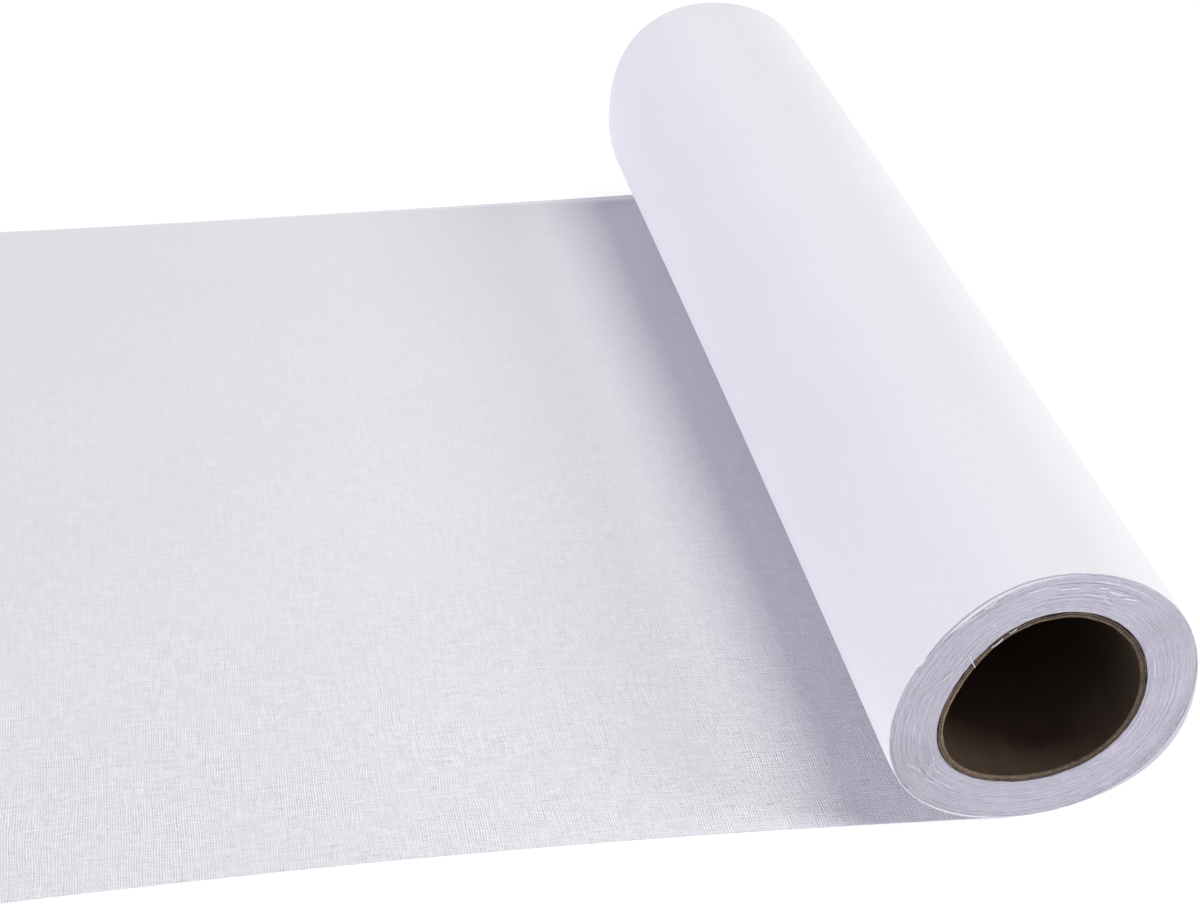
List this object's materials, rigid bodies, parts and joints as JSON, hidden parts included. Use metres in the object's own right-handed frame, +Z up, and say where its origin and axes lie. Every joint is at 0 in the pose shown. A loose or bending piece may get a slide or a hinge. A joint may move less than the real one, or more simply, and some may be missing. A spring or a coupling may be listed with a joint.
{
  "type": "roll of fusible interfacing",
  "caption": "Roll of fine woven fusible interfacing wound on an open paper tube, lying on its side with the loose end of the cloth pulled out flat.",
  "frame": {"origin": "middle of the flat spot that the roll lies on, half way along the roll", "axes": "+Y along the roll, +Z up from the surface, and the loose length runs from the roll towards -X"},
  "size_m": [0.2857, 0.3089, 0.0717],
  "materials": {
    "interfacing": "fine plain weave, matt, white with a faint lavender tint",
    "paper_tube": "wound grey-brown paper board, matt"
  },
  "bodies": {
    "root": {"core_tube": "paper_tube", "wound_cloth": "interfacing", "loose_length": "interfacing"}
  },
  "joints": []
}
